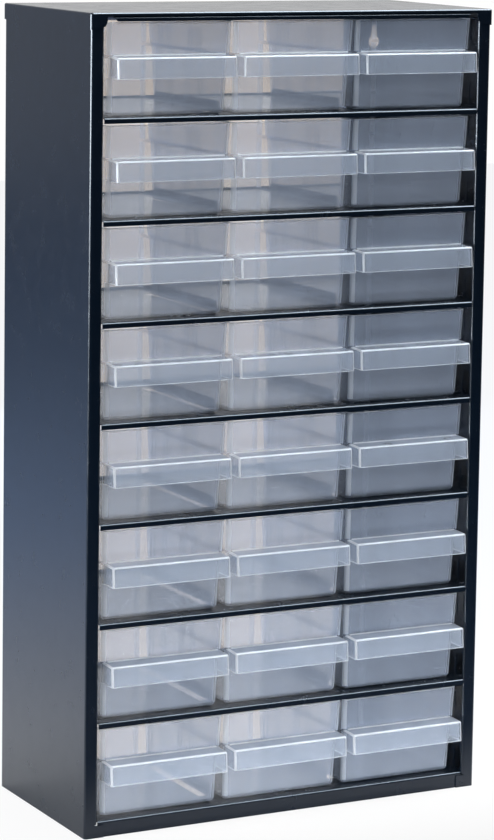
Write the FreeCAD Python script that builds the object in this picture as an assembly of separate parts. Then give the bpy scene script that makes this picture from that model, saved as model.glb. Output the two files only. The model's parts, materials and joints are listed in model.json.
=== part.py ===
# Small parts cabinet: a welded sheet-steel carcass that holds three columns of see-through drawers.
# Lengths are in millimetres. X runs across the width, -Y is the front and Z is up.
# The origin is on the floor, under the middle of the cabinet with its drawers' handles.
import FreeCAD, Part
import math
import os

columns = 3
rows = 8
column_pitch = 93.0

# Sheet steel
sheet = 0.8
bend_inside = 0.8
post_bend_inside = 1.2
overrun = 5.0                      # how far a cut reaches past what it cuts
tolerance = 0.02                   # for picking edges by where they lie

# Carcass
cabinet_depth = 142.0              # over the top cover
base_level = 11.0                  # top face of the bottom panel
bay_pitch = 67.5                   # from one shelf's top face to the next one's
top_bay_height = 66.0              # from the uppermost shelf's top face to the top panel's
cover_gap = 1.7                    # between the top panel and the cover
post_margin = 3.2                  # from the outer drawer's share of the width to the post
post_width = 9.5                   # front face of a side panel
post_return = 14.0                 # how deep that face is folded back
rear_flange = 38.0                 # rear face of a side panel
foot_tab_reach = 4.7               # how far a post's foot reaches over the bottom panel
foot_tab_height = 8.5
foot_relief = 0.5                  # clear height between the foot tab and the folded-back part

# Slots in the folded-back part of the posts
slot_height = 17.5
slot_width = 9.0
slot_above_shelf = 0.4
slot_below_shelf = 5.1
slot_from_bend = 0.4
slot_end_share = 0.98              # how nearly the slot's ends are half circles

# Keyholes in the rear flanges, for hanging the cabinet on a wall
keyhole_from_top = 30.2            # down to the middle of the wide end
keyhole_from_side = 13.4
keyhole_radius = 4.5
keyhole_round_share = 0.78         # how much of a full circle the wide end keeps
keyhole_neck_radius = 2.0
keyhole_rise = 9.9                 # from the wide end's middle to the neck's

# Shelves
shelf_lip = 4.0
shelf_rear_lip = 3.0
shelf_end_flange = 10.0
lip_post_clearance = 0.5
post_clearance = 0.6
corner_relief = 2.0
top_lip = 3.4
top_lip_inset = 5.6                # how much shorter the top panel's lip is than a shelf's, at each end
top_lip_slant = 3.6

# Upright guides between the drawers, lanced out of the shelf
guide_setback = 26.0
guide_length = 97.0
guide_height = 7.3
guide_front_round = 1.5
guide_rear_round = 4.0

# Top cover
cover_side_lip = 11.0
cover_front_lip = 2.4
cover_edge_round = 1.2
cover_corner_round = 2.0
cover_tab_width = 12.0
cover_tab_height = 10.4
cover_tab_round = 5.5
cover_notch_round = 1.0

# Drawers, each moulded in one piece
drawer_gap = 1.2                   # between two neighbours at the top
drawer_seat = 0.2                  # running gap under a drawer
drawer_top_clearance = 0.6         # from a drawer's front to the lowest lip over any drawer
front_setback = 4.0                # from the cabinet's front to the top of a drawer's front
back_clearance = 1.2               # to the shelf's rear lip
wall = 1.5
floor_thickness = 1.8
shoulder_step = 1.0                # the walls step out here by this much
shoulder_rise = 1.5
front_rake_low = 2.5               # lean of the end walls under the shoulder
front_rake_high = 1.5              # and over it
side_rake_low = 1.0
side_rake_high = 0.5
corner_radius = 4.0
bottom_round = 3.5
inner_bottom_round = 2.0

# Handle across the drawer's front, open underneath
handle_reach = 8.0                 # in front of the cabinet
upper_band = 21.8                  # from the drawer's top to the handle's
handle_height = 14.8
handle_side_inset = 0.6            # from the drawer's lower side wall
handle_top_wall = 1.4
handle_front_wall = 1.5
handle_side_wall = 1.3
handle_lean = 1.0
handle_top_slope = 0.8
handle_round = 1.2

# Ribs on the drawers' side walls that hold a divider
rib_reach = 1.2
rib_width = 1.0
rib_pair_gap = 5.0
rib_lift = 2.0
rib_top_drop = 8.0
first_rib_pair = 62.0              # behind the cabinet's front
second_rib_pair = 108.0

# Lug on the drawer's back that stops it at the lip above
stop_width = 50.0
stop_gap = 0.4                     # under the lowest sheet that it slides along
stop_root = 1.0
stop_round = 3.0

# Sizes that follow
cabinet_width = columns * column_pitch + 2 * (post_margin + post_width + sheet)
panel_top = base_level + (rows - 1) * bay_pitch + top_bay_height + cover_gap
cabinet_height = panel_top + sheet
front = handle_reach - (cabinet_depth + handle_reach) / 2
rear = front + cabinet_depth
post_front = front + sheet
post_rear = rear - sheet
outer_half = cabinet_width / 2 - sheet
inner_half = outer_half - sheet
post_half = outer_half - post_width
lip_half = post_half - lip_post_clearance
notch_back = post_front + post_return + post_clearance
shelf_rear = post_rear - sheet
rear_lip_face = shelf_rear - sheet
keyhole_x = cabinet_width / 2 - keyhole_from_side
keyhole_z = cabinet_height - keyhole_from_top

lowest_lip = min(bay_pitch - shelf_lip, top_bay_height - top_lip)
drawer_height = lowest_lip - drawer_seat - drawer_top_clearance
stop_height = min(bay_pitch, top_bay_height) - drawer_seat - sheet - stop_gap
handle_top = drawer_height - upper_band
handle_bottom = handle_top - handle_height
top_half = (column_pitch - drawer_gap) / 2
drawer_back = rear_lip_face - back_clearance


def level(row):
    """Top face of the shelf under a row, counted from the bottom. The last one is the top panel's."""
    if row == rows:
        return panel_top - cover_gap
    return base_level + row * bay_pitch


def point(plane, across, up, depth=0.0):
    if plane == "xy":
        return FreeCAD.Vector(across, up, depth)
    if plane == "yz":
        return FreeCAD.Vector(depth, across, up)
    return FreeCAD.Vector(across, depth, up)


def outline(plane, corners, depth=0.0):
    """A closed wire through corners (across, up, radius), each rounded by its radius."""
    starts, ends, arcs = [], [], []
    count = len(corners)
    for index, (across, up, radius) in enumerate(corners):
        corner = FreeCAD.Vector(across, up, 0)
        before = FreeCAD.Vector(*corners[index - 1][:2], 0)
        after = FreeCAD.Vector(*corners[(index + 1) % count][:2], 0)
        inward = (corner - before).normalize()
        outward = (after - corner).normalize()
        if radius == 0:
            starts.append(corner)
            ends.append(corner)
            arcs.append(None)
            continue
        half_turn = inward.getAngle(outward) / 2
        reach = radius * math.tan(half_turn)
        to_centre = (outward - inward).normalize()
        starts.append(corner - inward * reach)
        ends.append(corner + outward * reach)
        arcs.append(corner + to_centre * (radius / math.cos(half_turn) - radius))
    edges = []
    for index in range(count):
        here = [point(plane, p.x, p.y, depth) for p in (starts[index], ends[index])]
        following = point(plane, starts[(index + 1) % count].x, starts[(index + 1) % count].y, depth)
        if arcs[index] is not None:
            middle = point(plane, arcs[index].x, arcs[index].y, depth)
            edges.append(Part.Arc(here[0], middle, here[1]).toShape())
        edges.append(Part.LineSegment(here[1], following).toShape())
    return Part.Wire(edges)


def slab(plane, corners, start, end):
    """The outline, filled and given a thickness from start to end along the third axis."""
    face = Part.Face(outline(plane, corners, start))
    return face.extrude(point(plane, 0, 0, end - start))


def box(low, high):
    """A box from its lowest to its highest corner."""
    size = [b - a for a, b in zip(low, high)]
    return Part.makeBox(*size, FreeCAD.Vector(*low))


def bent_sheet(path, inside):
    """Corners of a folded sheet's section. The metal lies to the left of the path."""
    near, far = [], []
    for index, (across, up) in enumerate(path):
        here = FreeCAD.Vector(across, up, 0)
        inward = outward = None
        if index > 0:
            inward = (here - FreeCAD.Vector(*path[index - 1], 0)).normalize()
        if index < len(path) - 1:
            outward = (FreeCAD.Vector(*path[index + 1], 0) - here).normalize()
        inward = inward or outward
        outward = outward or inward
        left_in = FreeCAD.Vector(-inward.y, inward.x, 0)
        left_out = FreeCAD.Vector(-outward.y, outward.x, 0)
        shift = (left_in + left_out) * (sheet / (1 + left_in.dot(left_out)))
        turn = inward.x * outward.y - inward.y * outward.x
        near_radius = far_radius = 0
        if turn > 0:
            near_radius, far_radius = inside + sheet, inside
        if turn < 0:
            near_radius, far_radius = inside, inside + sheet
        near.append((here.x, here.y, near_radius))
        far.append((here.x + shift.x, here.y + shift.y, far_radius))
    return near + far[::-1]


def mirrored(shape):
    return shape.mirror(FreeCAD.Vector(0, 0, 0), FreeCAD.Vector(1, 0, 0))


def chosen_edges(shape, test):
    return [edge for edge in shape.Edges if test(edge)]


def upright(edge):
    """True for a straight edge that runs along Z."""
    along = edge.Vertexes[-1].Point - edge.Vertexes[0].Point
    return abs(along.z) > tolerance and math.hypot(along.x, along.y) < tolerance


def at_height(z):
    return lambda edge: all(abs(vertex.Z - z) < tolerance for vertex in edge.Vertexes)


def slot_outline(y, low, high):
    half = slot_width / 2
    radius = half * slot_end_share
    return [(y - half, low, radius), (y + half, low, radius), (y + half, high, radius), (y - half, high, radius)]


def keyhole():
    """A teardrop through the left rear flange, round and wide at the bottom."""
    half_mouth = math.pi * (1 - keyhole_round_share)

    def at(x, z):
        return FreeCAD.Vector(x - keyhole_x, post_rear + overrun, keyhole_z + z)

    low = [at(side * keyhole_radius * math.sin(half_mouth), keyhole_radius * math.cos(half_mouth))
           for side in (-1, 1)]
    high = [at(side * keyhole_neck_radius, keyhole_rise) for side in (-1, 1)]
    edges = [Part.Arc(low[0], at(0, -keyhole_radius), low[1]).toShape(),
             Part.LineSegment(low[1], high[1]).toShape(),
             Part.Arc(high[1], at(0, keyhole_rise + keyhole_neck_radius), high[0]).toShape(),
             Part.LineSegment(high[0], low[0]).toShape()]
    return Part.Face(Part.Wire(edges)).extrude(FreeCAD.Vector(0, -2 * overrun - sheet, 0))


def left_side():
    """A side panel: rear flange, side, front post and the part folded back behind the post."""
    path = [(rear_flange - outer_half, post_rear), (-outer_half, post_rear),
            (-outer_half, post_front), (-post_half, post_front), (-post_half, post_front + post_return)]
    panel = slab("xy", bent_sheet(path, post_bend_inside), 0, panel_top)
    bend = post_bend_inside + sheet
    foot_top = foot_tab_height + foot_relief
    panel = panel.cut(box((-post_half - bend, post_front - overrun, -overrun),
                          (-post_half + overrun, post_front + post_return + overrun, foot_top)))
    foot = box((-post_half - bend, post_front, 0),
               (foot_tab_reach - post_half, post_front + sheet, foot_tab_height))
    panel = panel.fuse(foot)
    slot_y = post_front + bend + slot_from_bend + slot_width / 2
    for row in range(rows + 1):
        spans = []
        if row < rows:
            spans.append((level(row) + slot_above_shelf, level(row) + slot_above_shelf + slot_height))
        if row > 0:
            spans.append((level(row) - slot_below_shelf - slot_height, level(row) - slot_below_shelf))
        for low, high in spans:
            panel = panel.cut(slab("yz", slot_outline(slot_y, low, high),
                                   -post_half - overrun, overrun - post_half))
    return panel.cut(keyhole()).removeSplitter()


def guide(row, x):
    """The upright guide at x and the window it leaves in the sheet, on the side away from the middle."""
    low = level(row)
    begin = front + guide_setback
    finish = begin + guide_length
    corners = [(begin, low - sheet, 0), (finish, low - sheet, 0),
               (finish, low + guide_height, guide_rear_round),
               (begin, low + guide_height, guide_front_round)]
    blade = slab("yz", corners, x - sheet / 2, x + sheet / 2)
    near = abs(x) + sheet / 2
    window = box((near, begin, low - sheet - overrun), (near + guide_height, finish, low + sheet))
    return blade, window if x > 0 else mirrored(window)


def tray(row, lip_front, lip_depth, front_half, lip_slant, rear_lip, end_flange, guides):
    """A shelf, the bottom panel or the top panel: folded at the front, the rear and both ends."""
    top = level(row)
    if rear_lip > 0:
        path = [(rear_lip_face, top + rear_lip), (rear_lip_face, top)]
    else:
        path = [(shelf_rear, top + rear_lip), (shelf_rear, top)]
    path += [(lip_front, top), (lip_front, top - lip_depth)]
    body = slab("yz", bent_sheet(path, bend_inside), -inner_half, inner_half)
    for side in (-1, 1):
        flange = box((inner_half - sheet, notch_back, top - end_flange),
                     (inner_half, shelf_rear - corner_relief, top - sheet / 2))
        body = body.fuse(flange if side > 0 else mirrored(flange))
        front_notch = slab("xz", [(front_half - lip_slant, top - lip_depth, 0),
                                  (front_half, top, 0), (front_half, top + overrun, 0),
                                  (inner_half + overrun, top + overrun, 0),
                                  (inner_half + overrun, top - lip_depth - overrun, 0),
                                  (front_half - lip_slant, top - lip_depth - overrun, 0)],
                           lip_front - overrun, notch_back)
        rear_notch = box((inner_half - corner_relief, shelf_rear - corner_relief, top - base_level - overrun),
                         (inner_half + overrun, shelf_rear + overrun, top + overrun + shelf_rear_lip))
        for notch in (front_notch, rear_notch):
            body = body.cut(notch if side > 0 else mirrored(notch))
    if guides:
        for step in range(1, columns):
            blade, window = guide(row, (step - columns / 2) * column_pitch)
            body = body.cut(window).fuse(blade)
    return body.removeSplitter()


def shelf(row):
    return tray(row, post_front, shelf_lip, lip_half, 0, shelf_rear_lip, shelf_end_flange, True)


def bottom_panel():
    return tray(0, post_front + sheet, base_level, lip_half, 0, -base_level, base_level, True)


def top_panel():
    return tray(rows, post_front, top_lip, lip_half - top_lip_inset, top_lip_slant,
                -shelf_end_flange, shelf_end_flange, False)


def top_cover():
    """A shallow lid over the panels, cut back at the front to a thin lip between two corner tabs."""
    low = cabinet_height - cover_side_lip
    half = cabinet_width / 2
    lid = box((-half, front, low), (half, rear, cabinet_height))
    lid = lid.makeFillet(cover_corner_round, chosen_edges(lid, upright))
    lid = lid.makeFillet(cover_edge_round, chosen_edges(lid, at_height(cabinet_height)))
    hollow = box((-outer_half, post_front, low - overrun), (outer_half, post_rear, panel_top))
    hollow = hollow.makeFillet(cover_corner_round - sheet, chosen_edges(hollow, upright))
    lid = lid.cut(hollow)
    tab_x = half - cover_tab_width
    tab_low = cabinet_height - cover_tab_height
    lip_low = cabinet_height - cover_front_lip
    opening = [(-tab_x, lip_low, cover_notch_round), (tab_x, lip_low, cover_notch_round),
               (tab_x, tab_low - overrun, 0), (-tab_x, tab_low - overrun, 0)]
    lid = lid.cut(slab("xz", opening, front - overrun, post_front + sheet))
    for side in (-1, 1):
        trim = slab("xz", [(tab_x - overrun, tab_low, 0), (half - cover_corner_round, tab_low, 0),
                           (half - cover_corner_round, low - overrun, 0), (tab_x - overrun, low - overrun, 0)],
                    front - overrun, post_front + sheet)
        block = box((tab_x - overrun, front - overrun, tab_low - overrun),
                    (tab_x + cover_tab_round, post_front + sheet, tab_low + cover_tab_round))
        keep = Part.makeCylinder(cover_tab_round, post_front + sheet - front + overrun,
                                 FreeCAD.Vector(tab_x + cover_tab_round, front - overrun,
                                                tab_low + cover_tab_round),
                                 FreeCAD.Vector(0, 1, 0))
        rounding = block.cut(keep)
        for cutter in (trim, rounding):
            lid = lid.cut(cutter if side > 0 else mirrored(cutter))
    return lid.removeSplitter()


def drawer_walls(z, inset=0.0):
    """Half width, front and back of a drawer's walls at a height over its bottom."""
    shoulder_low = handle_top - shoulder_rise
    shares = [(0.0, 1, 1, 1), (shoulder_low, 0, 1, 1), (handle_top, 0, 0, 1), (drawer_height, 0, 0, 0)]
    low = max(i for i in range(len(shares) - 1) if z >= shares[i][0])
    (z0, *a), (z1, *b) = shares[low], shares[low + 1]
    part = min((z - z0) / (z1 - z0), 1)
    under, step, over = [p + (q - p) * part for p, q in zip(a, b)]
    side = under * side_rake_low + step * shoulder_step + over * side_rake_high
    end = under * front_rake_low + step * shoulder_step + over * front_rake_high
    return (top_half - side - inset, front + front_setback + end + inset, drawer_back - end - inset)


def drawer_ring(z, inset=0.0):
    half, near, far = drawer_walls(min(z, drawer_height), inset)
    radius = corner_radius - inset
    return outline("xy", [(-half, near, radius), (half, near, radius),
                          (half, far, radius), (-half, far, radius)], z)


def drawer_body(low, high, inset, rounding):
    """The space inside the drawer's walls, drawn in by inset, with a rounded bottom edge."""
    heights = [low, handle_top - shoulder_rise, handle_top, drawer_height]
    if high > drawer_height:
        heights.append(high)
    body = Part.makeLoft([drawer_ring(z, inset) for z in heights], True, True)
    return body.makeFillet(rounding, chosen_edges(body, at_height(low)))


def handle_blocks(outer_body):
    """The handle's outside, and the space in it that is open underneath."""
    half = top_half - shoulder_step - side_rake_high - handle_side_inset
    lip = front - handle_reach
    inside = drawer_walls(handle_bottom, corner_radius)[1]
    profile = [(inside, handle_bottom, 0), (lip, handle_bottom, 0),
               (lip + handle_lean, handle_top - handle_top_slope, 0), (inside, handle_top, 0)]
    block = slab("yz", profile, -half, half)
    nose = lip + handle_lean + handle_front_wall

    def on_nose(edge):
        ends = [vertex.Point for vertex in edge.Vertexes]
        middle = (ends[0] + ends[-1]) * (1 / 2)
        at_front = all(p.y < nose for p in ends) and middle.z > handle_bottom + handle_round
        along_top = middle.z > handle_top - handle_round and all(p.z > handle_bottom + handle_round for p in ends)
        return at_front or (along_top and abs(middle.x) > half - handle_round)

    block = block.makeFillet(handle_round, chosen_edges(block, on_nose))
    roof = handle_top - handle_top_wall
    hollow_profile = [(inside + overrun, handle_bottom - overrun, 0),
                      (lip + handle_front_wall, handle_bottom - overrun, 0),
                      (lip + handle_front_wall, handle_bottom, 0),
                      (lip + handle_lean + handle_front_wall, roof - handle_top_slope, 0),
                      (inside, roof, 0), (inside + overrun, roof, 0)]
    hollow = slab("yz", hollow_profile, handle_side_wall - half, half - handle_side_wall)
    return block, hollow.cut(outer_body)


def divider_rib(y, outer_body):
    """One rib on the right side wall, following its lean."""
    low = floor_thickness + rib_lift
    high = drawer_height - rib_top_drop
    heights = [low, handle_top - shoulder_rise, handle_top, high]
    inner = [(drawer_walls(z, wall + rib_reach)[0], z, 0) for z in heights]
    outer = [(drawer_walls(z, wall / 2)[0], z, 0) for z in reversed(heights)]
    return slab("xz", inner + outer, y - rib_width / 2, y + rib_width / 2)


def drawer():
    """One drawer, standing on z = 0 in the middle column."""
    outer = drawer_body(0, drawer_height, 0, bottom_round)
    inner = drawer_body(floor_thickness, drawer_height + overrun, wall, inner_bottom_round)
    block, hollow = handle_blocks(outer)
    body = outer.fuse(block).cut(inner).cut(hollow)
    for pair in (first_rib_pair, second_rib_pair):
        for shift in (-rib_pair_gap / 2, rib_pair_gap / 2):
            rib = divider_rib(front + pair + shift, outer)
            body = body.fuse([rib, mirrored(rib)])
    half = stop_width / 2
    lug = slab("xz", [(-half, drawer_height - stop_root, 0), (half, drawer_height - stop_root, 0),
                      (half, stop_height, stop_round), (-half, stop_height, stop_round)],
               drawer_back - wall, drawer_back)
    return body.fuse(lug).removeSplitter()


os.makedirs("parts", exist_ok=True)


def write(name, shape):
    if shape.ShapeType == "Compound" and len(shape.Solids) == 1:
        shape = shape.Solids[0]
    shape.exportStep("parts/" + name + ".step")
    print(name, len(shape.Solids), shape.isValid(), round(shape.Volume, 1))


left = left_side()
write("left_side_panel", left)
write("right_side_panel", mirrored(left))
write("bottom_panel", bottom_panel())
write("top_panel", top_panel())
write("top_cover", top_cover())
for shelf_number in range(1, rows):
    write("shelf_" + str(shelf_number), shelf(rows - shelf_number))
one_drawer = drawer()
for drawer_row in range(1, rows + 1):
    for drawer_column in range(1, columns + 1):
        moved = one_drawer.copy()
        moved.translate(FreeCAD.Vector((drawer_column - (columns + 1) / 2) * column_pitch, 0,
                                       level(rows - drawer_row) + drawer_seat))
        write("drawer_r" + str(drawer_row) + "_c" + str(drawer_column), moved)
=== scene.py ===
"""Looks of a small parts cabinet: powder-coated steel around clear, slightly milky drawers."""

import json
import math

import bmesh
import bpy
from mathutils import Matrix, Vector

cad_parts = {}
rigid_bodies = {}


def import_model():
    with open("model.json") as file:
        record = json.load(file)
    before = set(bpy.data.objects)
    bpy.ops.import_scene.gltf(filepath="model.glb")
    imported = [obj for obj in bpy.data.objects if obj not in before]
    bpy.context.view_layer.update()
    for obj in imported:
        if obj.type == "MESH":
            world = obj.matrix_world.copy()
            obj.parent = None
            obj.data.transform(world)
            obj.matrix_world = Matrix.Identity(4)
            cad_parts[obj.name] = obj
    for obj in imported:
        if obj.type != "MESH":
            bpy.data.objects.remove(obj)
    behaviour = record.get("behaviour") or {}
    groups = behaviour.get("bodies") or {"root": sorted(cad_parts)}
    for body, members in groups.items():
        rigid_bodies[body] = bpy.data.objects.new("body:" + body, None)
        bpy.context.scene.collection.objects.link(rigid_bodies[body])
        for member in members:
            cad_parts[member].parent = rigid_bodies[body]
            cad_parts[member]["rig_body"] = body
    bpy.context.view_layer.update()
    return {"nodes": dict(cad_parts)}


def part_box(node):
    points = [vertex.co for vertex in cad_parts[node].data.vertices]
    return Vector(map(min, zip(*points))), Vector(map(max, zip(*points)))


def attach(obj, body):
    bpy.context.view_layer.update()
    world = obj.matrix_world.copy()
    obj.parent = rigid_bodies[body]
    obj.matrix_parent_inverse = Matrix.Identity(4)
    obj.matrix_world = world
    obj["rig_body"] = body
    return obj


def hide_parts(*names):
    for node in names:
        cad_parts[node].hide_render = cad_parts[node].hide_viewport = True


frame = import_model()
MM = 0.001

# Photograph's frame and the camera that took it
FRAME_HEIGHT_PX = 840
FOCAL_PX = 3215.2
PRINCIPAL_SHIFT_PX = (0, -160)
CAMERA_PLACE = (-1.0339, -1.9583, 0.6516)
CAMERA_TURN_DEGREES = (82.909, -0.849, -27.704)
SENSOR = 36.0

# Drawer, as moulded
WALL = 1.5 * MM
BOTTOM_WALL = 1.8 * MM
CORNER = 4.0 * MM
BOTTOM_ROUND = 3.5 * MM
INNER_BOTTOM_ROUND = 2.0 * MM
RIM_ROUND = 0.5 * MM
SIDE_RAKE_LOW = 1.0 * MM
SIDE_RAKE_HIGH = 0.5 * MM
END_RAKE_LOW = 2.5 * MM
END_RAKE_HIGH = 1.5 * MM
SHOULDER_STEP = 1.0 * MM
SHOULDER_RISE = 1.5 * MM
SHOULDER_ROUND = 0.4 * MM
UPPER_BAND = 21.8 * MM

HANDLE_REACH = 12.0 * MM           # from the top of the drawer's front
HANDLE_HEIGHT = 14.8 * MM
HANDLE_SIDE_INSET = 0.6 * MM
HANDLE_TOP_WALL = 1.4 * MM
HANDLE_FRONT_WALL = 1.5 * MM
HANDLE_SIDE_WALL = 1.3 * MM
HANDLE_LEAN = 1.0 * MM
HANDLE_TOP_SLOPE = 0.8 * MM
HANDLE_ROUND = 1.2 * MM
HANDLE_RIM_ROUND = 0.35 * MM
HANDLE_BEAD = 0.6 * MM             # moulded fillet where the handle's top meets the wall

RIB_REACH = 1.2 * MM
RIB_WIDTH = 1.0 * MM
RIB_PAIR_GAP = 5.0 * MM
RIB_LIFT = 2.0 * MM
RIB_TOP_DROP = 8.0 * MM
RIB_PAIRS = 2
RIB_FIRST_PAIR = 58.0 * MM         # its middle, from the top of the drawer's front
RIB_PAIR_SPACING = 46.0 * MM

LUG_WIDTH = 50.0 * MM
LUG_ROUND = 3.0 * MM
LUG_SINK = 3.0 * MM
LUG_OVER_RIM = 2.8 * MM
LUG_SKIN = 0.06 * MM               # how far the lug's faces lie inside the wall's

STEPS = 6                          # segments in a quarter turn
RIM_STEPS = 2                      # segments in the small rounding of the handle's lower rim
ROUND_PROFILE = 0.5
SHARP_ANGLE_DEGREES = 35           # edges that turn more than this are shaded as edges

# Material slots of a drawer, and how much of a face's direction lies along an axis where it gets one
# The edge and corner slots scatter more and whiter light and so paint highlights, the grip slot paints the
# light the handle catches, and the bottom slot paints shade
CLEAR, EDGE_PAINTED_HIGHLIGHT, SIDE, GRIP_PAINTED_LIGHT, CORNER_PAINTED_HIGHLIGHT, BOTTOM_PAINTED_SHADE = range(6)
HANDLE_TOP_Z = 0.8
SIDE_WALL_X = 0.97
CORNER_X = 0.15
CORNER_Z = 0.3
BOTTOM_Z = 0.9
LUG_FACE_Y = 0.5

# Powder coat of the steel; noise scales are in cells to the metre
COAT_DARK = (0.0015, 0.0048, 0.011, 1.0)
COAT_LIGHT = (0.002, 0.006, 0.0135, 1.0)
COAT_ROUGHNESS = 0.25
COAT_IOR = 1.5
COAT_DRIFT = {"Scale": 7.0, "Detail": 4.0, "Roughness": 0.6}
COAT_RUBS = {"Scale": 60.0, "Detail": 6.0, "Roughness": 0.7}
COAT_RUB_ROUGHNESS = {"From_Min": 0.45, "From_Max": 0.75, "To_Min": -0.03, "To_Max": 0.06}
COAT_PEEL = {"Scale": 900.0, "Detail": 2.0}
COAT_PEEL_STRENGTH = 0.02
BUMP_DEPTH = 0.05 * MM

# Plastic of the drawers
FLOW_STRETCH = (60.0, 60.0, 1.0)   # the bands run up and down
FLOW = {"Scale": 1.0, "Detail": 3.0}
FLOW_SWING = 0.08                  # how far the bands change the share of light that is scattered
FLOW_STRENGTH = 0.015
SCUFFS = {"Scale": 120.0, "Detail": 5.0, "Roughness": 0.65}
SMOOTH_ROUGHNESS = 0.10
SCUFFED_ROUGHNESS = 0.2
MARK_LEVELS = {"From_Min": 0.3, "From_Max": 0.7}    # of the noise, from no mark to a full one
STRAIGHT_ON_REFLECTION = 0.04      # share of light that a face of the plastic mirrors
SLANT_BLEND = 0.5                  # at which the slant is one less the cosine
SLANT_POWER = 5.0                  # how late the mirrored share rises as the face turns away
LIT_FROM_BEHIND = 0.50             # share of its scattered light that comes through from the other side
CLEAR_LAYERS = 64                  # walls of drawers that a view may go through

THICK_TINT = (0.98, 0.97, 0.96, 1.0)        # of what is seen through the plastic
THIN_TINT = (0.985, 0.98, 0.97, 1.0)
HANDLE_TINT = (0.99, 0.985, 0.98, 1.0)
CORNER_TINT = (0.97, 0.96, 0.95, 1.0)
COOL_HAZE = (0.62, 0.74, 0.95, 1.0)         # of the light that it scatters
WARM_HAZE = (0.80, 0.88, 1.0, 1.0)
# Whiter scatter for rims and rounded edges: partly the real milkiness of rounded plastic, partly a painted
# highlight along them
EDGE_PAINTED_HIGHLIGHT_HAZE = (0.95, 0.97, 1.0, 1.0)
# Brighter scatter for the handle, which paints the extra light that the jutting handle catches from above
# and in front
HANDLE_PAINTED_LIGHT_HAZE = (0.74, 0.85, 1.0, 1.0)
# Darker, greyer scatter for the drawers' bottoms, which paints shade on them
BOTTOM_PAINTED_SHADE_HAZE = (0.42, 0.50, 0.62, 1.0)

# In the order of the slots: name, share scattered, tint, colour scattered back and colour glowing through
PLASTICS = (
    ("clear_polypropylene", 0.27, THICK_TINT, COOL_HAZE, WARM_HAZE),
    # Rims and rounded edges: stronger, whiter scatter that paints a highlight along them, partly the real
    # milkiness of rounded plastic
    ("edges_with_painted_highlight", 0.68, THICK_TINT, EDGE_PAINTED_HIGHLIGHT_HAZE, EDGE_PAINTED_HIGHLIGHT_HAZE),
    ("thin_side_walls", 0.105, THIN_TINT, COOL_HAZE, WARM_HAZE),
    # Handle walls: brighter scatter that paints the light the handle catches
    ("handle_walls_painted_light", 0.25, HANDLE_TINT, HANDLE_PAINTED_LIGHT_HAZE, HANDLE_PAINTED_LIGHT_HAZE),
    # Rounded upright corners and the handle's top: stronger scatter that paints a highlight there, partly
    # the real milkiness of slanted plastic
    ("upright_corners_painted_highlight", 0.42, CORNER_TINT, WARM_HAZE, WARM_HAZE),
    # Drawer bottoms: darker scatter that paints shade
    ("drawer_bottoms_painted_shade", 0.11, THIN_TINT, BOTTOM_PAINTED_SHADE_HAZE, BOTTOM_PAINTED_SHADE_HAZE),
)

# Studio
WHITE = (1.0, 1.0, 1.0, 1.0)
SKY_BLUE = (0.50, 0.66, 1.0, 1.0)           # the room to the left and far away, in the steel's gloss
CREAM_WALL = (0.97, 0.81, 0.63, 1.0)        # the surround and the paper, as seen through the drawers
CREAM_PAPER = (1.0, 0.87, 0.72, 1.0)

PAPER_SIZE = 8.0
PAPER_TOWARDS_FRONT = {"From_Min": -0.2, "From_Max": -0.08, "To_Min": 0.06, "To_Max": 1.0}
PAPER_DIMS_AWAY = {"From_Min": 0.3, "From_Max": 1.3, "To_Min": 0.76, "To_Max": 0.66}
PAPER_BLUES_AWAY = {"From_Min": 0.1, "From_Max": 1.0}
PAPER_CLEAN_WHITE = 0.9            # share of plain white in what the camera sees of the paper
ROOM_TOWARDS_FRONT = {"From_Min": -0.4, "From_Max": 0.2, "To_Min": 0.02, "To_Max": 0.9}
ROOM_TOWARDS_LEFT = {"From_Min": -0.9, "From_Max": 0.3, "To_Min": 0.25, "To_Max": 1.0}
ROOM_SEEN = 1.0                    # its level for the camera

# Lamps face their target; a lamp that isn't glossy has no mirror image in the pieces
GLEAM = {"watts": 150, "color": (0.72, 0.86, 1.0), "diffuse": False}    # seen in the gloss only
LAMPS = (
    {"name": "left", "place": (-2.2, 0.0, 0.6), "target": (0, 0, 0.4), "size": (0.9, 0.9), "watts": 40},
    {"name": "top", "place": (0.95, 0.0, 2.0), "target": (0.2, 0.0, 0.3), "size": (0.6, 2.4), "watts": 45},
    {"name": "front", "place": (-0.6, -2.2, 1.7), "target": (0, 0, 0.3), "size": (1.0, 1.0), "watts": 41,
     "glossy": False},
    {"name": "back", "place": (0.3, 1.4, 0.6), "target": (0, 0, 0.25), "size": (1.2, 1.2), "watts": 15,
     "glossy": False},
    {"name": "table", "place": (0.05, -0.35, 0.02), "target": (0.05, -0.05, 0.02), "size": (0.6, 0.08),
     "watts": 1.4, "glossy": False},
    {"name": "gleam_above", "place": (0.8, -0.45, 1.9), "target": (0, 0, 0.3), "size": (1.5, 1.5), **GLEAM},
    {"name": "gleam_left", "place": (-2.2, -0.15, 0.8), "target": (-0.15, -0.07, 0.5), "size": (2.0, 1.2),
     **GLEAM},
)

# Sockets of a Mix node: its share, what it mixes and what comes out
SHARE, COLOR_A, COLOR_B, MIXED_COLOR = 0, 6, 7, 2
NUMBER_A, NUMBER_B, MIXED_NUMBER = 2, 3, 0

nodes = frame["nodes"]
drawer_names = sorted(name for name in nodes if name.startswith("drawer_"))
steel_names = sorted(name for name in nodes if not name.startswith("drawer_"))


# Materials

def new_material(name):
    material = bpy.data.materials.new(name)
    material.use_nodes = True
    material.node_tree.nodes.clear()
    return material


def add(tree, kind, **values):
    """A node with its plain settings, and with inputs set by name where the name is an input's."""
    node = tree.nodes.new(kind)
    for key, value in values.items():
        if hasattr(node, key):
            setattr(node, key, value)
        else:
            node.inputs[key.replace("_", " ")].default_value = value
    return node


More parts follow.
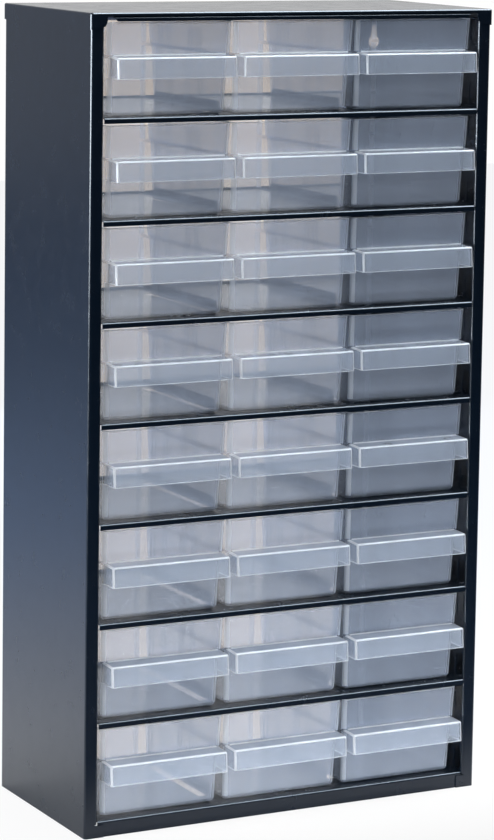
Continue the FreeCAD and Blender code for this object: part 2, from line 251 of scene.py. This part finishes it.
def join(tree, *routes):
    """Links nodes along routes of a node, its output, the next node and its input."""
    for source, output, target, entry in routes:
        tree.links.new(source.outputs[output], target.inputs[entry])


def mix_colors(tree, first=WHITE, second=WHITE):
    mix = add(tree, "ShaderNodeMix", data_type="RGBA")
    mix.inputs[COLOR_A].default_value = first
    mix.inputs[COLOR_B].default_value = second
    return mix


def new_group(name, kind, inputs, outputs):
    """A node group with its entry and its exit, and with sockets from tables of name and kind."""
    group = bpy.data.node_groups.new(name, kind)
    for way, sockets in (("INPUT", inputs), ("OUTPUT", outputs)):
        for socket, what in sockets:
            group.interface.new_socket(name=socket, in_out=way, socket_type="NodeSocket" + what)
    return group, group.nodes.new("NodeGroupInput"), group.nodes.new("NodeGroupOutput")


def coat_group():
    """Powder coat: slow drifts of tone, fine peel and faint rubs."""
    group, entry, leave = new_group("powder_coat", "ShaderNodeTree",
                                    (("Dark", "Color"), ("Light", "Color"), ("Gloss", "Float")),
                                    (("Color", "Color"), ("Roughness", "Float"), ("Height", "Float")))
    where = add(group, "ShaderNodeTexCoord")
    peel = add(group, "ShaderNodeTexNoise", **COAT_PEEL)
    drift = add(group, "ShaderNodeTexNoise", **COAT_DRIFT)
    rubs = add(group, "ShaderNodeTexNoise", **COAT_RUBS)
    tone = mix_colors(group)
    rub_range = add(group, "ShaderNodeMapRange", **COAT_RUB_ROUGHNESS)
    total = add(group, "ShaderNodeMath", operation="ADD")
    join(group,
         (where, "Object", peel, "Vector"),
         (where, "Object", drift, "Vector"),
         (where, "Object", rubs, "Vector"),
         (drift, "Fac", tone, SHARE),
         (entry, "Dark", tone, COLOR_A),
         (entry, "Light", tone, COLOR_B),
         (tone, MIXED_COLOR, leave, "Color"),
         (rubs, "Fac", rub_range, "Value"),
         (rub_range, 0, total, 0),
         (entry, "Gloss", total, 1),
         (total, 0, leave, "Roughness"),
         (peel, "Fac", leave, "Height"))
    return group


def coated_steel(name, group, dark, light, roughness):
    material = new_material(name)
    tree = material.node_tree
    output = add(tree, "ShaderNodeOutputMaterial")
    paint = add(tree, "ShaderNodeBsdfPrincipled", IOR=COAT_IOR)
    finish = add(tree, "ShaderNodeGroup", node_tree=group, Dark=dark, Light=light, Gloss=roughness)
    bump = add(tree, "ShaderNodeBump", Strength=COAT_PEEL_STRENGTH, Distance=BUMP_DEPTH)
    join(tree,
         (finish, "Color", paint, "Base Color"),
         (finish, "Roughness", paint, "Roughness"),
         (finish, "Height", bump, "Height"),
         (bump, "Normal", paint, "Normal"),
         (paint, "BSDF", output, "Surface"))
    return material


def flow_bands(tree, where):
    """Slow bands that the melt leaves up and down the walls."""
    stretch = add(tree, "ShaderNodeMapping", Scale=FLOW_STRETCH)
    flow = add(tree, "ShaderNodeTexNoise", **FLOW)
    join(tree,
         (where, "Object", stretch, "Vector"),
         (stretch, "Vector", flow, "Vector"))
    return flow


def moulding_group():
    """Surface of the moulded plastic: the relief of its flow bands, and the scuffs that handling leaves."""
    group, entry, leave = new_group("moulded_plastic", "ShaderNodeTree",
                                    (("Smooth", "Float"), ("Scuffed", "Float")),
                                    (("Roughness", "Float"), ("Height", "Float")))
    where = add(group, "ShaderNodeTexCoord")
    flow = flow_bands(group, where)
    scuff = add(group, "ShaderNodeTexNoise", **SCUFFS)
    gloss = add(group, "ShaderNodeMapRange", **MARK_LEVELS)
    join(group,
         (where, "Object", scuff, "Vector"),
         (scuff, "Fac", gloss, "Value"),
         (entry, "Smooth", gloss, "To Min"),
         (entry, "Scuffed", gloss, "To Max"),
         (gloss, 0, leave, "Roughness"),
         (flow, "Fac", leave, "Height"))
    return group


def clear_plastic(group, name, haze, tint, back, through):
    """Polypropylene: light passes through, a share is scattered, and a slanted face mirrors more."""
    material = new_material(name)
    tree = material.node_tree
    output = add(tree, "ShaderNodeOutputMaterial")
    marks = add(tree, "ShaderNodeGroup", node_tree=group, Smooth=SMOOTH_ROUGHNESS, Scuffed=SCUFFED_ROUGHNESS)
    flow = flow_bands(tree, add(tree, "ShaderNodeTexCoord"))
    share = add(tree, "ShaderNodeMapRange", To_Min=haze * (1 - FLOW_SWING), To_Max=haze * (1 + FLOW_SWING),
                **MARK_LEVELS)
    bump = add(tree, "ShaderNodeBump", Strength=FLOW_STRENGTH, Distance=BUMP_DEPTH)
    slant = add(tree, "ShaderNodeLayerWeight", Blend=SLANT_BLEND)
    steep = add(tree, "ShaderNodeMath", operation="POWER")
    steep.inputs[1].default_value = SLANT_POWER
    mirror = add(tree, "ShaderNodeMath", operation="MULTIPLY_ADD")
    mirror.inputs[1].default_value = 1 - STRAIGHT_ON_REFLECTION
    mirror.inputs[2].default_value = STRAIGHT_ON_REFLECTION
    clear = add(tree, "ShaderNodeBsdfTransparent", Color=tint)
    scatter = add(tree, "ShaderNodeBsdfDiffuse", Color=back)
    glow = add(tree, "ShaderNodeBsdfTranslucent", Color=through)
    milky = add(tree, "ShaderNodeMixShader", Fac=LIT_FROM_BEHIND)
    body = add(tree, "ShaderNodeMixShader")
    shine = add(tree, "ShaderNodeBsdfAnisotropic", Color=WHITE)
    surface = add(tree, "ShaderNodeMixShader")
    join(tree,
         (marks, "Height", bump, "Height"),
         (marks, "Roughness", shine, "Roughness"),
         (bump, "Normal", shine, "Normal"),
         (slant, "Facing", steep, 0),
         (steep, 0, mirror, 0),
         (scatter, 0, milky, 1),
         (glow, 0, milky, 2),
         (flow, "Fac", share, "Value"),
         (share, 0, body, 0),
         (clear, 0, body, 1),
         (milky, 0, body, 2),
         (mirror, 0, surface, 0),
         (body, 0, surface, 1),
         (shine, 0, surface, 2),
         (surface, 0, output, "Surface"))
    return material


# Drawers

drawer_low, drawer_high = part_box("drawer_r1_c2")
DRAWER_HALF = (drawer_high.x - drawer_low.x) / 2
DRAWER_FRONT = drawer_low.y + HANDLE_REACH
DRAWER_BACK = drawer_high.y
LUG_TOP = drawer_high.z - drawer_low.z
DRAWER_HEIGHT = LUG_TOP - LUG_OVER_RIM
HANDLE_TOP = DRAWER_HEIGHT - UPPER_BAND
HANDLE_BOTTOM = HANDLE_TOP - HANDLE_HEIGHT


def walls(z):
    """Half width, front and back of the drawer's outside at a height over its bottom."""
    shoulder = HANDLE_TOP - SHOULDER_RISE
    under = 1 - min(max(z / shoulder, 0), 1)
    step = 1 - min(max((z - shoulder) / SHOULDER_RISE, 0), 1)
    over = 1 - min(max((z - HANDLE_TOP) / UPPER_BAND, 0), 1)
    side = under * SIDE_RAKE_LOW + step * SHOULDER_STEP + over * SIDE_RAKE_HIGH
    end = under * END_RAKE_LOW + step * SHOULDER_STEP + over * END_RAKE_HIGH
    return DRAWER_HALF - side, DRAWER_FRONT + end, DRAWER_BACK - end


def ring(z, inset):
    """Points round the drawer at a height, drawn in from its outside."""
    half, near, far = walls(z)
    radius = CORNER - inset
    half, near, far = half - inset - radius, near + inset + radius, far - inset - radius
    points = []
    for across, along, start in ((half, near, -90), (half, far, 0), (-half, far, 90), (-half, near, 180)):
        for step in range(STEPS + 1):
            angle = math.radians(start + 90 * step / STEPS)
            points.append((across + radius * math.cos(angle), along + radius * math.sin(angle), z))
    return points


def quarter():
    """Angles of a quarter turn, for a rounding."""
    return [math.radians(90 * step / STEPS) for step in range(STEPS + 1)]


def kinks():
    """Heights at which the walls change their slope."""
    shoulder = HANDLE_TOP - SHOULDER_RISE
    return [shoulder - SHOULDER_ROUND, shoulder + SHOULDER_ROUND,
            HANDLE_TOP - SHOULDER_ROUND, HANDLE_TOP + SHOULDER_ROUND]


def solid_of_rings(rings):
    """A closed mesh through rings of (points, material of the band that follows)."""
    mesh = bmesh.new()
    rows = [[mesh.verts.new(p) for p in points] for points, _ in rings]
    count = len(rows[0])
    for index in range(len(rows) - 1):
        for k in range(count):
            face = mesh.faces.new((rows[index][k], rows[index][(k + 1) % count],
                                   rows[index + 1][(k + 1) % count], rows[index + 1][k]))
            face.material_index = rings[index][1]
    mesh.faces.new(rows[0][::-1])
    mesh.faces.new(rows[-1])
    bmesh.ops.recalc_face_normals(mesh, faces=mesh.faces)
    return mesh


def tub():
    """The drawer's body, as rings up its outside, over the rim and down its inside."""
    rings = [(ring(BOTTOM_ROUND * (1 - math.cos(a)), BOTTOM_ROUND * (1 - math.sin(a))), CLEAR)
             for a in quarter()]
    rings += [(ring(z, 0), CLEAR) for z in kinks()]
    base = DRAWER_HEIGHT - RIM_ROUND
    # The rounded rim gets the edge finish, whose whiter scatter paints a highlight along it
    rings += [(ring(base + RIM_ROUND * math.sin(a), RIM_ROUND * (1 - math.cos(a))), EDGE_PAINTED_HIGHLIGHT)
              for a in quarter()]
    rings += [(ring(base + RIM_ROUND * math.cos(a), WALL - RIM_ROUND * (1 - math.sin(a))), EDGE_PAINTED_HIGHLIGHT)
              for a in quarter()]
    rings[-1] = (rings[-1][0], CLEAR)
    rings += [(ring(z, WALL), CLEAR) for z in reversed(kinks())]
    rings += [(ring(BOTTOM_WALL + INNER_BOTTOM_ROUND * (1 - math.sin(a)),
                    WALL + INNER_BOTTOM_ROUND * (1 - math.cos(a))), CLEAR) for a in quarter()]
    return solid_of_rings(rings)


def core():
    """A solid that ends halfway through the walls, to trim what is joined to them."""
    heights = [BOTTOM_WALL, *kinks(), DRAWER_HEIGHT + WALL]
    return solid_of_rings([(ring(z, WALL / 2), CLEAR) for z in heights])


def prism(outline, start, end, axis):
    """The outline in the other two axes, drawn out along axis (0 for X, 1 for Y)."""
    mesh = bmesh.new()

    def place(a, b, depth):
        return (depth, a, b) if axis == 0 else (a, depth, b)

    near = [mesh.verts.new(place(a, b, start)) for a, b in outline]
    far = [mesh.verts.new(place(a, b, end)) for a, b in outline]
    count = len(outline)
    mesh.faces.new(near)
    mesh.faces.new(far[::-1])
    for k in range(count):
        mesh.faces.new((near[k], far[k], far[(k + 1) % count], near[(k + 1) % count]))
    bmesh.ops.recalc_face_normals(mesh, faces=mesh.faces)
    return mesh


def round_edges(mesh, test, radius, segments):
    """Rounds the edges that the test picks, and gives the rounding the edge finish, whose whiter scatter
    paints a highlight on it.
    """
    edges = [edge for edge in mesh.edges if test(edge)]
    made = bmesh.ops.bevel(mesh, geom=edges, offset=radius, offset_type="OFFSET", segments=segments,
                           profile=ROUND_PROFILE, affect="EDGES", clamp_overlap=True)
    for face in made["faces"]:
        face.material_index = EDGE_PAINTED_HIGHLIGHT


def as_object(mesh, name, materials):
    data = bpy.data.meshes.new(name)
    mesh.to_mesh(data)
    mesh.free()
    for material in materials:
        data.materials.append(material)
    piece = bpy.data.objects.new(name, data)
    bpy.context.scene.collection.objects.link(piece)
    return piece


def combine(piece, others, operation):
    """Joins others to the piece, or cuts them from it, and removes them."""
    for other in others:
        modifier = piece.modifiers.new("combine", "BOOLEAN")
        modifier.operation = operation
        modifier.object = other
        modifier.solver = "EXACT"
    settled(piece)
    for other in others:
        bpy.data.objects.remove(other)


def settled(piece):
    """Replaces the piece's mesh by what its modifiers make of it."""
    graph = bpy.context.evaluated_depsgraph_get()
    graph.update()
    made = bpy.data.meshes.new_from_object(piece.evaluated_get(graph), depsgraph=graph)
    piece.modifiers.clear()
    old = piece.data
    piece.data = made
    bpy.data.meshes.remove(old)


def handle(materials):
    """Box handle across the drawer's front, open below."""
    half = DRAWER_HALF - SHOULDER_STEP - SIDE_RAKE_HIGH - HANDLE_SIDE_INSET
    lip = DRAWER_FRONT - HANDLE_REACH
    inside = walls(HANDLE_BOTTOM)[1] + CORNER
    block = prism([(inside, HANDLE_BOTTOM), (lip, HANDLE_BOTTOM),
                   (lip + HANDLE_LEAN, HANDLE_TOP - HANDLE_TOP_SLOPE), (inside, HANDLE_TOP)],
                  -half, half, 0)
    middle = HANDLE_BOTTOM + HANDLE_HEIGHT / 2

    def outer_edge(edge):
        a, b = (vertex.co for vertex in edge.verts)
        in_front = max(a.y, b.y) < lip + 2 * HANDLE_LEAN and max(a.z, b.z) > middle
        along_top = min(a.z, b.z) > middle and abs(a.x - b.x) < half and abs(a.x + b.x) > half
        return in_front or along_top

    round_edges(block, outer_edge, HANDLE_ROUND, STEPS)
    roof = HANDLE_TOP - HANDLE_TOP_WALL
    low = HANDLE_BOTTOM - HANDLE_ROUND
    hollow = prism([(inside + WALL, low), (lip + HANDLE_FRONT_WALL, low),
                    (lip + HANDLE_FRONT_WALL, HANDLE_BOTTOM),
                    (lip + HANDLE_LEAN + HANDLE_FRONT_WALL, roof - HANDLE_TOP_SLOPE), (inside + WALL, roof)],
                   HANDLE_SIDE_WALL - half, half - HANDLE_SIDE_WALL, 0)
    piece = as_object(block, "handle", materials)
    combine(piece, [as_object(hollow, "hollow", materials), as_object(core(), "core", materials)],
            "DIFFERENCE")
    mesh = bmesh.new()
    mesh.from_mesh(piece.data)

    def lower_rim(edge):
        return all(abs(vertex.co.z - HANDLE_BOTTOM) < HANDLE_RIM_ROUND / STEPS for vertex in edge.verts)

    round_edges(mesh, lower_rim, HANDLE_RIM_ROUND, RIM_STEPS)
    # The handle's lower rim gets the edge finish, whose whiter scatter paints a highlight line
    for face in mesh.faces:
        if face.calc_center_median().z < HANDLE_BOTTOM + HANDLE_RIM_ROUND:
            face.material_index = EDGE_PAINTED_HIGHLIGHT
    mesh.to_mesh(piece.data)
    mesh.free()
    return piece


def bead(materials):
    """Fillet along the corner of handle and wall, wholly in the edge finish, whose whiter scatter paints a
    highlight line there.
    """
    half = walls(HANDLE_TOP)[0] - CORNER
    face = walls(HANDLE_TOP)[1]
    sunk = HANDLE_BEAD / 2
    mesh = prism([(face + sunk, HANDLE_TOP - sunk), (face - HANDLE_BEAD, HANDLE_TOP - sunk),
                  (face - HANDLE_BEAD, HANDLE_TOP), (face + sunk / 2, HANDLE_TOP + HANDLE_BEAD),
                  (face + sunk, HANDLE_TOP + HANDLE_BEAD)], -half, half, 0)
    # The whole fillet gets the edge finish, which paints a highlight line
    for item in mesh.faces:
        item.material_index = EDGE_PAINTED_HIGHLIGHT
    return as_object(mesh, "bead", materials)


def rib_tree():
    """Pairs of ribs along both side walls, from one rib that stands beside the origin."""
    sizes = ("First Rib", "Pair Gap", "Pair Spacing")
    tree, entry, leave = new_group("divider_ribs", "GeometryNodeTree",
                                   (("Rib", "Geometry"), *((size, "Float") for size in sizes),
                                    ("Pairs", "Int"), ("Material", "Material")), (("Ribs", "Geometry"),))
    first, gap, spacing = (add(tree, "ShaderNodeCombineXYZ") for _ in sizes)
    opposite = add(tree, "GeometryNodeTransform", Rotation=(0.0, 0.0, math.pi))
    both = add(tree, "GeometryNodeJoinGeometry")
    in_a_pair = add(tree, "GeometryNodeMeshLine", Count=2)
    pair = add(tree, "GeometryNodeInstanceOnPoints")
    along_wall = add(tree, "GeometryNodeMeshLine")
    pairs = add(tree, "GeometryNodeInstanceOnPoints")
    realize = add(tree, "GeometryNodeRealizeInstances")
    finish = add(tree, "GeometryNodeSetMaterial")
    join(tree,
         (entry, "First Rib", first, "Y"),
         (entry, "Pair Gap", gap, "Y"),
         (entry, "Pair Spacing", spacing, "Y"),
         (entry, "Rib", opposite, "Geometry"),
         (entry, "Rib", both, "Geometry"),
         (opposite, "Geometry", both, "Geometry"),
         (gap, "Vector", in_a_pair, "Offset"),
         (in_a_pair, "Mesh", pair, "Points"),
         (both, "Geometry", pair, "Instance"),
         (entry, "Pairs", along_wall, "Count"),
         (first, "Vector", along_wall, "Start Location"),
         (spacing, "Vector", along_wall, "Offset"),
         (along_wall, "Mesh", pairs, "Points"),
         (pair, "Instances", pairs, "Instance"),
         (pairs, "Instances", realize, "Geometry"),
         (realize, "Geometry", finish, "Geometry"),
         (entry, "Material", finish, "Material"),
         (finish, "Geometry", leave, "Ribs"))
    return tree


def ribs(materials):
    """Upright ribs on the side walls, which hold a divider."""
    heights = [BOTTOM_WALL + RIB_LIFT, *kinks(), DRAWER_HEIGHT - RIB_TOP_DROP]
    inner = [(walls(z)[0] - WALL - RIB_REACH, z) for z in heights]
    outer = [(walls(z)[0] - WALL / 2, z) for z in reversed(heights)]
    piece = as_object(prism(inner + outer, -RIB_WIDTH / 2, RIB_WIDTH / 2, 1), "ribs", materials)
    modifier = piece.modifiers.new("divider ribs", "NODES")
    modifier.node_group = rib_tree()
    values = {"First Rib": DRAWER_FRONT + RIB_FIRST_PAIR - RIB_PAIR_GAP / 2, "Pair Gap": RIB_PAIR_GAP,
              "Pair Spacing": RIB_PAIR_SPACING, "Pairs": RIB_PAIRS, "Material": materials[CLEAR]}
    for socket in modifier.node_group.interface.items_tree:
        if socket.name in values:
            modifier[socket.identifier] = values[socket.name]
    settled(piece)
    return piece


def lug(materials):
    """Upright lug on the drawer's back, which stops it at the lip above."""
    half = LUG_WIDTH / 2
    mesh = prism([(-half, DRAWER_HEIGHT - LUG_SINK), (half, DRAWER_HEIGHT - LUG_SINK),
                  (half, LUG_TOP), (-half, LUG_TOP)],
                 DRAWER_BACK - WALL + LUG_SKIN, DRAWER_BACK - LUG_SKIN, 1)

    def end_corner(edge):
        a, b = (vertex.co for vertex in edge.verts)
        return a.z > DRAWER_HEIGHT and b.z > DRAWER_HEIGHT and abs(a.y - b.y) > LUG_SKIN

    round_edges(mesh, end_corner, LUG_ROUND, STEPS)
    # The lug's narrow end faces get the edge finish, whose whiter scatter paints a highlight on them
    for face in mesh.faces:
        face.material_index = EDGE_PAINTED_HIGHLIGHT if abs(face.normal.y) < LUG_FACE_Y else CLEAR
    return as_object(mesh, "lug", materials)


def zone(face):
    """Which finish a plain face of the drawer has."""
    # On the handle, the top gets the corner finish's painted highlight and the walls the grip finish, whose
    # brighter scatter paints the light it catches
    if face.center.y < DRAWER_FRONT - HANDLE_BEAD:
        return CORNER_PAINTED_HIGHLIGHT if face.normal.z > HANDLE_TOP_Z else GRIP_PAINTED_LIGHT
    if abs(face.normal.x) > SIDE_WALL_X:
        return SIDE
    # Rounded upright corners get the corner finish, whose stronger scatter paints a highlight down them
    if abs(face.normal.x) > CORNER_X and abs(face.normal.z) < CORNER_Z:
        return CORNER_PAINTED_HIGHLIGHT
    # Bottoms get the darker scatter that paints shade
    if abs(face.normal.z) > BOTTOM_Z:
        return BOTTOM_PAINTED_SHADE
    return CLEAR


def drawer(materials):
    """One whole drawer, standing on z = 0 in the middle column."""
    piece = as_object(tub(), "drawer", materials)
    combine(piece, [handle(materials), bead(materials), lug(materials), ribs(materials)], "UNION")
    for face in piece.data.polygons:
        face.use_smooth = True
        if face.material_index == CLEAR:
            face.material_index = zone(face)
    piece.data.set_sharp_from_angle(angle=math.radians(SHARP_ANGLE_DEGREES))
    weighted = piece.modifiers.new("flat faces stay flat", "WEIGHTED_NORMAL")
    weighted.keep_sharp = True
    settled(piece)
    return piece


def place_drawers(materials):
    """A copy of the drawer in the place of each CAD drawer."""
    pattern = drawer(materials)
    for name in drawer_names:
        low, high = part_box(name)
        data = pattern.data.copy()
        data.transform(Matrix.Translation(((low.x + high.x) / 2, 0, low.z)))
        piece = bpy.data.objects.new("clear_" + name, data)
        bpy.context.scene.collection.objects.link(piece)
        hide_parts(name)
        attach(piece, nodes[name]["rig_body"])
    bpy.data.objects.remove(pattern)


# Studio

def seen_through(tree, path, cream):
    """White, or cream where the view has gone through a drawer on its way."""
    both = add(tree, "ShaderNodeMath", operation="MULTIPLY", use_clamp=True)
    tint = mix_colors(tree, WHITE, cream)
    join(tree,
         (path, "Is Camera Ray", both, 0),
         (path, "Transparent Depth", both, 1),
         (both, 0, tint, SHARE))
    return tint


def paper_floor():
    """White paper, darker towards the front, where the room behind the camera is, and bluer far away."""
    material = new_material("floor")
    tree = material.node_tree
    output = add(tree, "ShaderNodeOutputMaterial")
    where = add(tree, "ShaderNodeTexCoord")
    parts = add(tree, "ShaderNodeSeparateXYZ")
    away = add(tree, "ShaderNodeVectorMath", operation="LENGTH")
    front = add(tree, "ShaderNodeMapRange", **PAPER_TOWARDS_FRONT)
    dimmer = add(tree, "ShaderNodeMapRange", **PAPER_DIMS_AWAY)
    bluer = add(tree, "ShaderNodeMapRange", **PAPER_BLUES_AWAY)
    shade = add(tree, "ShaderNodeMath", operation="MULTIPLY")
    tone = mix_colors(tree, WHITE, SKY_BLUE)
    toned = add(tree, "ShaderNodeVectorMath", operation="SCALE")
    paper = add(tree, "ShaderNodeBsdfDiffuse")
    path = add(tree, "ShaderNodeLightPath")
    tint = seen_through(tree, path, CREAM_PAPER)
    white = add(tree, "ShaderNodeEmission", Strength=1.0)
    seen = add(tree, "ShaderNodeMath", operation="MULTIPLY")
    seen.inputs[1].default_value = PAPER_CLEAN_WHITE
    mix = add(tree, "ShaderNodeMixShader")
    join(tree,
         (where, "Object", parts, 0),
         (where, "Object", away, 0),
         (parts, "Y", front, "Value"),
         (away, "Value", dimmer, "Value"),
         (away, "Value", bluer, "Value"),
         (front, 0, shade, 0),
         (dimmer, 0, shade, 1),
         (bluer, 0, tone, SHARE),
         (tone, MIXED_COLOR, toned, 0),
         (shade, 0, toned, "Scale"),
         (toned, 0, paper, "Color"),
         (tint, MIXED_COLOR, white, "Color"),
         (path, "Is Camera Ray", seen, 0),
         (seen, 0, mix, 0),
         (paper, 0, mix, 1),
         (white, 0, mix, 2),
         (mix, 0, output, "Surface"))
    bpy.ops.mesh.primitive_plane_add(size=PAPER_SIZE, location=(0, 0, 0))
    floor = bpy.context.object
    floor.name = "floor"
    floor.data.materials.append(material)


def room():
    """A white surround for the camera; the steel mirrors it dark in front and blue on the left."""
    world = bpy.data.worlds.new("studio")
    bpy.context.scene.world = world
    world.use_nodes = True
    tree = world.node_tree
    tree.nodes.clear()
    output = add(tree, "ShaderNodeOutputWorld")
    where = add(tree, "ShaderNodeTexCoord")
    parts = add(tree, "ShaderNodeSeparateXYZ")
    front = add(tree, "ShaderNodeMapRange", interpolation_type="SMOOTHSTEP", **ROOM_TOWARDS_FRONT)
    left = add(tree, "ShaderNodeMapRange", **ROOM_TOWARDS_LEFT)
    both = add(tree, "ShaderNodeMath", operation="MULTIPLY")
    path = add(tree, "ShaderNodeLightPath")
    level = add(tree, "ShaderNodeMix", data_type="FLOAT")
    level.inputs[NUMBER_B].default_value = ROOM_SEEN
    tint = seen_through(tree, path, CREAM_WALL)
    sky = mix_colors(tree, SKY_BLUE, WHITE)
    lit = mix_colors(tree)
    light = add(tree, "ShaderNodeBackground")
    join(tree,
         (where, "Generated", parts, "Vector"),
         (parts, "Y", front, "Value"),
         (parts, "X", left, "Value"),
         (front, 0, both, 0),
         (left, 0, both, 1),
         (path, "Is Camera Ray", level, SHARE),
         (both, 0, level, NUMBER_A),
         (left, 0, sky, SHARE),
         (path, "Is Camera Ray", lit, SHARE),
         (sky, MIXED_COLOR, lit, COLOR_A),
         (tint, MIXED_COLOR, lit, COLOR_B),
         (lit, MIXED_COLOR, light, "Color"),
         (level, MIXED_NUMBER, light, "Strength"),
         (light, 0, output, "Surface"))


def lamp(name, place, target, size, watts, color=WHITE[:3], diffuse=True, glossy=True):
    data = bpy.data.lights.new(name, "AREA")
    data.shape = "RECTANGLE"
    data.size, data.size_y = size
    data.energy = watts
    data.color = color
    piece = bpy.data.objects.new(name, data)
    piece.location = place
    piece.rotation_euler = (Vector(target) - Vector(place)).to_track_quat("-Z", "Y").to_euler()
    piece.visible_camera = False
    piece.visible_diffuse = diffuse
    piece.visible_glossy = glossy
    bpy.context.scene.collection.objects.link(piece)


def camera():
    data = bpy.data.cameras.new("camera")
    data.sensor_fit = "VERTICAL"
    data.sensor_height = SENSOR
    data.sensor_width = SENSOR
    data.lens = FOCAL_PX / FRAME_HEIGHT_PX * SENSOR
    data.shift_x = -PRINCIPAL_SHIFT_PX[0] / FRAME_HEIGHT_PX
    data.shift_y = PRINCIPAL_SHIFT_PX[1] / FRAME_HEIGHT_PX
    piece = bpy.data.objects.new("camera", data)
    piece.location = CAMERA_PLACE
    piece.rotation_euler = [math.radians(angle) for angle in CAMERA_TURN_DEGREES]
    bpy.context.scene.collection.objects.link(piece)
    bpy.context.scene.camera = piece


def finish_node(name, material):
    slots = nodes[name].data.materials
    slots.clear()
    slots.append(material)


def main():
    scene = bpy.context.scene
    scene.view_settings.view_transform = "Standard"
    scene.cycles.transparent_max_bounces = CLEAR_LAYERS
    paint = coated_steel("blue_powder_coat", coat_group(), COAT_DARK, COAT_LIGHT, COAT_ROUGHNESS)
    for name in steel_names:
        finish_node(name, paint)
    moulding = moulding_group()
    plastics = [clear_plastic(moulding, *finish) for finish in PLASTICS]
    for name in drawer_names:
        finish_node(name, plastics[CLEAR])
    place_drawers(plastics)
    paper_floor()
    room()
    for settings in LAMPS:
        lamp(**settings)
    camera()


main()
